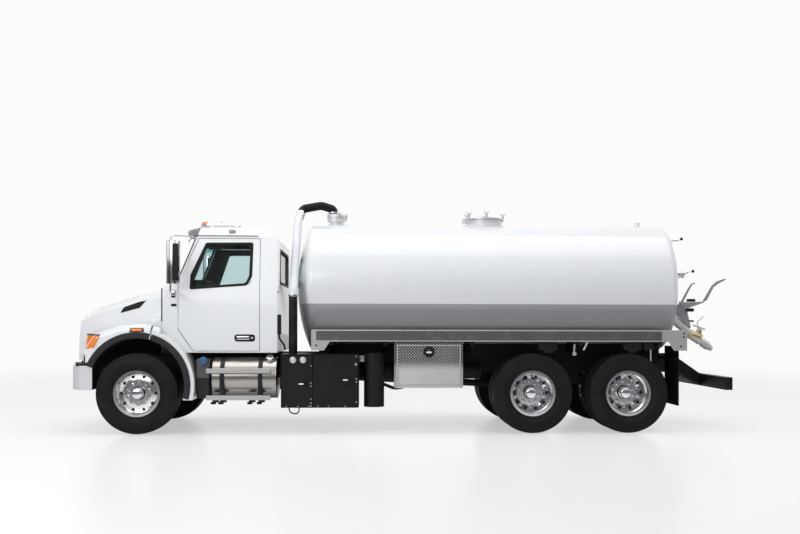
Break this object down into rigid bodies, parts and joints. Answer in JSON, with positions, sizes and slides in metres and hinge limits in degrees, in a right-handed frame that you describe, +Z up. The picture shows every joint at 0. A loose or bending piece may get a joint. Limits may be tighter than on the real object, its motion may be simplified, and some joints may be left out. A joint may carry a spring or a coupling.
{
  "type": "vacuum tanker truck",
  "caption": "Conventional-cab three-axle truck with a cylindrical vacuum tank, side hose trays, pump cabinet, toolbox and rear valve gear.",
  "frame": {"origin": "on the ground under the middle of the overall box", "axes": "+X to the rear of the truck, -Y to the driver's side, +Z up"},
  "size_m": [9.36, 2.75, 3.2461],
  "materials": {
    "white_paint": "gloss white paint, with a grey band low on the vessel",
    "chassis_black": "satin black chassis paint",
    "engine_grey": "painted castings",
    "bumper_silver": "silver paint",
    "chrome": "polished chrome",
    "aluminium": "bright rolled and tread-plate aluminium",
    "wheel_aluminium": "polished forged aluminium",
    "steel": "zinc-plated steel",
    "brass": "cast brass and bronze",
    "rubber": "black rubber",
    "tyre": "black tyre rubber",
    "interior": "dark trim and seat cloth",
    "plastic_grey": "moulded plastic",
    "lamp_lens": "clear and amber lenses",
    "glass": "tinted safety glass"
  },
  "bodies": {
    "chassis": {"frame": "chassis_black", "front_axle": "chassis_black", "rear_axles": "chassis_black", "powertrain": "engine_grey", "bumper": "bumper_silver", "cab_shell": "white_paint", "cab_glass": "glass", "cab_interior": "interior", "mirrors": "chrome", "roof_fittings": "chrome", "fender_extensions": "white_paint", "tank_shell": "white_paint", "tank_cradle": "chassis_black", "hose_trays": "aluminium", "tank_fittings": "aluminium", "level_gauges": "aluminium", "manway_neck": "aluminium", "pump_cabinet": "chassis_black", "oil_separator": "chassis_black", "vacuum_pipe": "chassis_black", "vacuum_hose": "rubber", "discharge_valve": "brass", "valve_levers": "steel", "underrun_guard": "chassis_black", "mudguards": "rubber", "toolbox": "aluminium", "fuel_tank": "aluminium", "cab_steps": "aluminium", "additive_tank": "plastic_grey", "right_side_boxes": "aluminium"},
    "hood": {"hood": "white_paint", "grille": "chrome", "headlamps": "lamp_lens"},
    "manway_lid": {"manway_lid": "aluminium"},
    "toolbox_door": {"toolbox_door": "aluminium"},
    "cabinet_door_front": {"cabinet_door_front": "chassis_black"},
    "cabinet_door_rear": {"cabinet_door_rear": "chassis_black"},
    "door_left": {"door_left": "white_paint", "door_glass_left": "glass"},
    "knuckle_left": {"knuckle_left": "chassis_black"},
    "front_wheel_left": {"front_wheel_left": "wheel_aluminium", "front_tyre_left": "tyre"},
    "forward_wheels_left": {"forward_wheel_left": "wheel_aluminium", "forward_tyres_left": "tyre"},
    "rearward_wheels_left": {"rearward_wheel_left": "wheel_aluminium", "rearward_tyres_left": "tyre"},
    "door_right": {"door_right": "white_paint", "door_glass_right": "glass"},
    "knuckle_right": {"knuckle_right": "chassis_black"},
    "front_wheel_right": {"front_wheel_right": "wheel_aluminium", "front_tyre_right": "tyre"},
    "forward_wheels_right": {"forward_wheel_right": "wheel_aluminium", "forward_tyres_right": "tyre"},
    "rearward_wheels_right": {"rearward_wheel_right": "wheel_aluminium", "rearward_tyres_right": "tyre"}
  },
  "joints": [
    {"name": "door_left_hinge", "type": "hinge", "parent": "chassis", "child": "door_left", "pos_m": [-3.1305, -1.056, 1.5], "axis": [0, 0, -1], "range_deg": [0, 65]},
    {"name": "steer_left", "type": "hinge", "parent": "chassis", "child": "knuckle_left", "pos_m": [-3.642, -0.9045, 0.54], "axis": [0, 0, 1], "range_deg": [-35, 35]},
    {"name": "front_wheel_left_spin", "type": "hinge", "parent": "knuckle_left", "child": "front_wheel_left", "pos_m": [-3.642, -1.0275, 0.54], "axis": [0, 1, 0], "continuous": true},
    {"name": "forward_wheels_left_spin", "type": "hinge", "parent": "chassis", "child": "forward_wheels_left", "pos_m": [1.62, -0.9125, 0.538], "axis": [0, 1, 0], "continuous": true},
    {"name": "rearward_wheels_left_spin", "type": "hinge", "parent": "chassis", "child": "rearward_wheels_left", "pos_m": [2.92, -0.9125, 0.538], "axis": [0, 1, 0], "continuous": true},
    {"name": "door_right_hinge", "type": "hinge", "parent": "chassis", "child": "door_right", "pos_m": [-3.1305, 1.056, 1.5], "axis": [0, 0, 1], "range_deg": [0, 65]},
    {"name": "steer_right", "type": "hinge", "parent": "chassis", "child": "knuckle_right", "pos_m": [-3.642, 0.9045, 0.54], "axis": [0, 0, 1], "range_deg": [-35, 35]},
    {"name": "front_wheel_right_spin", "type": "hinge", "parent": "knuckle_right", "child": "front_wheel_right", "pos_m": [-3.642, 1.0275, 0.54], "axis": [0, 1, 0], "continuous": true},
    {"name": "forward_wheels_right_spin", "type": "hinge", "parent": "chassis", "child": "forward_wheels_right", "pos_m": [1.62, 0.9125, 0.538], "axis": [0, 1, 0], "continuous": true},
    {"name": "rearward_wheels_right_spin", "type": "hinge", "parent": "chassis", "child": "rearward_wheels_right", "pos_m": [2.92, 0.9125, 0.538], "axis": [0, 1, 0], "continuous": true},
    {"name": "hood_tilt", "type": "hinge", "parent": "chassis", "child": "hood", "pos_m": [-4.565, 0, 0.93], "axis": [0, -1, 0], "range_deg": [0, 55]},
    {"name": "manway_lid_hinge", "type": "hinge", "parent": "chassis", "child": "manway_lid", "pos_m": [0.79524, 0, 3], "axis": [0, -1, 0], "range_deg": [0, 100]},
    {"name": "toolbox_door_hinge", "type": "hinge", "parent": "chassis", "child": "toolbox_door", "pos_m": [0.21484, -1.226, 0.629], "axis": [1, 0, 0], "range_deg": [0, 90]},
    {"name": "cabinet_door_front_hinge", "type": "hinge", "parent": "chassis", "child": "cabinet_door_front", "pos_m": [-1.734, -1.206, 0.7], "axis": [0, 0, -1], "range_deg": [0, 90]},
    {"name": "cabinet_door_rear_hinge", "type": "hinge", "parent": "chassis", "child": "cabinet_door_rear", "pos_m": [-1.32168, -1.206, 0.7], "axis": [0, 0, -1], "range_deg": [0, 90]}
  ],
  "couplings": [
    {"joint": "steer_right", "follows": "steer_left", "ratio": 1}
  ]
}
